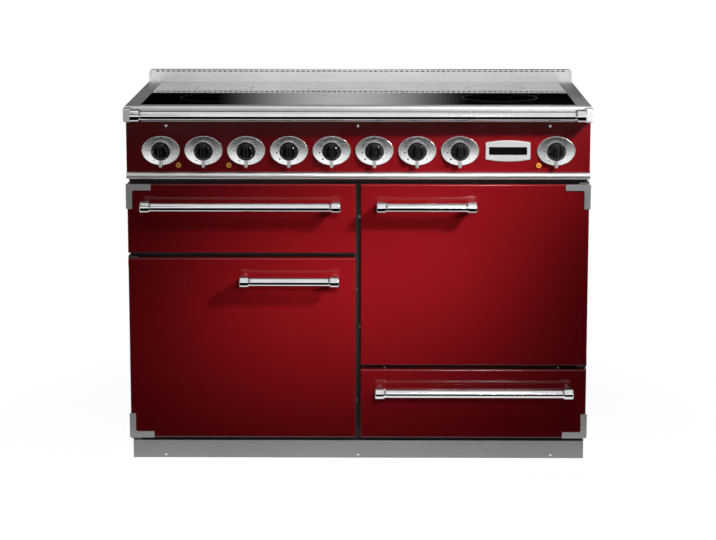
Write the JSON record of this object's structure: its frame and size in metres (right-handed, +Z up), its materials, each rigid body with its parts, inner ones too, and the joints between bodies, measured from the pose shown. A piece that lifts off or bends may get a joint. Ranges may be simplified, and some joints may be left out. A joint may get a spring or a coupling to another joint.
{
  "type": "induction range cooker",
  "caption": "Wide freestanding induction range with red enamel fronts, two side-hinged ovens, glide-out grill, storage drawer, dial panel, bar handles and a front handrail.",
  "frame": {"origin": "on the floor under the middle of the overall box", "axes": "+Z up, the front with doors and dials faces -Y, +X to the right seen from the front"},
  "size_m": [1.096, 0.659, 0.913],
  "materials": {
    "red_enamel": "gloss enamel",
    "stainless": "brushed",
    "polished_trim": "satin to polished",
    "chrome": "polished",
    "plated_wire": "bright plated",
    "black_glass": "polished",
    "knob_black": "gloss, with a plated lever",
    "amber": "clear tinted",
    "oven_enamel": "gloss vitreous enamel",
    "frame_black": "satin",
    "galvanised": "zinc coated",
    "wool": "fibrous",
    "copper": "wound wire",
    "element": "dull",
    "switch_plastic": "matt",
    "seal": "matt"
  },
  "bodies": {
    "cabinet": {"control_panel": "red_enamel", "hotplate_frame": "stainless", "upstand": "stainless", "plinth": "stainless", "control_trim": "polished_trim", "dial_bezels": "polished_trim", "handrail": "chrome", "oven_shelves": "plated_wire", "trim_screws": "plated_wire", "slide_runners": "plated_wire", "door_hinges": "plated_wire", "hob_glass": "black_glass", "indicator_lenses": "amber", "left_oven_liner": "oven_enamel", "right_oven_liner": "oven_enamel", "grill_chamber": "oven_enamel", "fan_covers": "oven_enamel", "front_frame": "frame_black", "side_panels": "galvanised", "back_panel": "galvanised", "base_tray": "galvanised", "centre_divider": "galvanised", "levelling_feet": "galvanised", "oven_insulation": "wool", "induction_modules": "copper", "heating_elements": "element", "fan_motors": "element", "rotary_switches": "switch_plastic", "terminal_box": "switch_plastic", "door_seals": "seal"},
    "grill_drawer": {"grill_front": "red_enamel", "grill_handle": "chrome", "grill_corner_plate": "polished_trim", "grill_carriage": "frame_black", "grill_pan": "oven_enamel"},
    "left_door": {"left_door_panel": "red_enamel", "left_door_liner": "oven_enamel", "left_door_handle": "chrome", "left_door_corner_plate": "polished_trim"},
    "right_door": {"right_door_panel": "red_enamel", "right_door_liner": "oven_enamel", "right_door_handle": "chrome", "right_door_corner_plate": "polished_trim"},
    "storage_drawer": {"drawer_front": "red_enamel", "drawer_box": "frame_black", "drawer_handle": "chrome", "drawer_corner_plate": "polished_trim"},
    "left_fan": {"left_oven_fan": "element"},
    "right_fan": {"right_oven_fan": "element"},
    "left_caster": {"left_roller": "switch_plastic"},
    "right_caster": {"right_roller": "switch_plastic"},
    "dial_1": {"knob_1": "knob_black"},
    "dial_2": {"knob_2": "knob_black"},
    "dial_3": {"knob_3": "knob_black"},
    "dial_4": {"knob_4": "knob_black"},
    "dial_5": {"knob_5": "knob_black"},
    "dial_6": {"knob_6": "knob_black"},
    "dial_7": {"knob_7": "knob_black"},
    "dial_8": {"knob_8": "knob_black"},
    "dial_9": {"knob_9": "knob_black"}
  },
  "joints": [
    {"name": "grill_slide", "type": "slide", "parent": "cabinet", "child": "grill_drawer", "axis": [0, -1, 0], "range_m": [0, 0.3]},
    {"name": "drawer_slide", "type": "slide", "parent": "cabinet", "child": "storage_drawer", "axis": [0, -1, 0], "range_m": [0, 0.33]},
    {"name": "left_door_hinge", "type": "hinge", "parent": "cabinet", "child": "left_door", "pos_m": [-0.533, -0.25875, 0.3015], "axis": [0, 0, -1], "range_deg": [0, 110]},
    {"name": "right_door_hinge", "type": "hinge", "parent": "cabinet", "child": "right_door", "pos_m": [0.533, -0.25875, 0.479], "axis": [0, 0, 1], "range_deg": [0, 110]},
    {"name": "dial_1_turn", "type": "hinge", "parent": "cabinet", "child": "dial_1", "pos_m": [-0.4635, -0.27075, 0.7765], "axis": [0, 1, 0], "range_deg": [0, 270]},
    {"name": "dial_2_turn", "type": "hinge", "parent": "cabinet", "child": "dial_2", "pos_m": [-0.3631, -0.27075, 0.7765], "axis": [0, 1, 0], "range_deg": [0, 270]},
    {"name": "dial_3_turn", "type": "hinge", "parent": "cabinet", "child": "dial_3", "pos_m": [-0.2627, -0.27075, 0.7765], "axis": [0, 1, 0], "range_deg": [0, 270]},
    {"name": "dial_4_turn", "type": "hinge", "parent": "cabinet", "child": "dial_4", "pos_m": [-0.1623, -0.27075, 0.7765], "axis": [0, 1, 0], "range_deg": [0, 270]},
    {"name": "dial_5_turn", "type": "hinge", "parent": "cabinet", "child": "dial_5", "pos_m": [-0.0619, -0.27075, 0.7765], "axis": [0, 1, 0], "range_deg": [0, 270]},
    {"name": "dial_6_turn", "type": "hinge", "parent": "cabinet", "child": "dial_6", "pos_m": [0.0385, -0.27075, 0.7765], "axis": [0, 1, 0], "range_deg": [0, 270]},
    {"name": "dial_7_turn", "type": "hinge", "parent": "cabinet", "child": "dial_7", "pos_m": [0.1389, -0.27075, 0.7765], "axis": [0, 1, 0], "range_deg": [0, 270]},
    {"name": "dial_8_turn", "type": "hinge", "parent": "cabinet", "child": "dial_8", "pos_m": [0.2393, -0.27075, 0.7765], "axis": [0, 1, 0], "range_deg": [0, 270]},
    {"name": "dial_9_turn", "type": "hinge", "parent": "cabinet", "child": "dial_9", "pos_m": [0.465, -0.27075, 0.7765], "axis": [0, 1, 0], "range_deg": [0, 270]},
    {"name": "left_fan_spin", "type": "hinge", "parent": "cabinet", "child": "left_fan", "pos_m": [-0.2755, 0.19125, 0.3015], "axis": [0, 1, 0], "continuous": true},
    {"name": "right_fan_spin", "type": "hinge", "parent": "cabinet", "child": "right_fan", "pos_m": [0.2755, 0.19125, 0.479], "axis": [0, 1, 0], "continuous": true},
    {"name": "left_caster_roll", "type": "hinge", "parent": "cabinet", "child": "left_caster", "pos_m": [-0.43, 0.24805, 0.02], "axis": [1, 0, 0], "continuous": true},
    {"name": "right_caster_roll", "type": "hinge", "parent": "cabinet", "child": "right_caster", "pos_m": [0.43, 0.24805, 0.02], "axis": [1, 0, 0], "continuous": true}
  ]
}
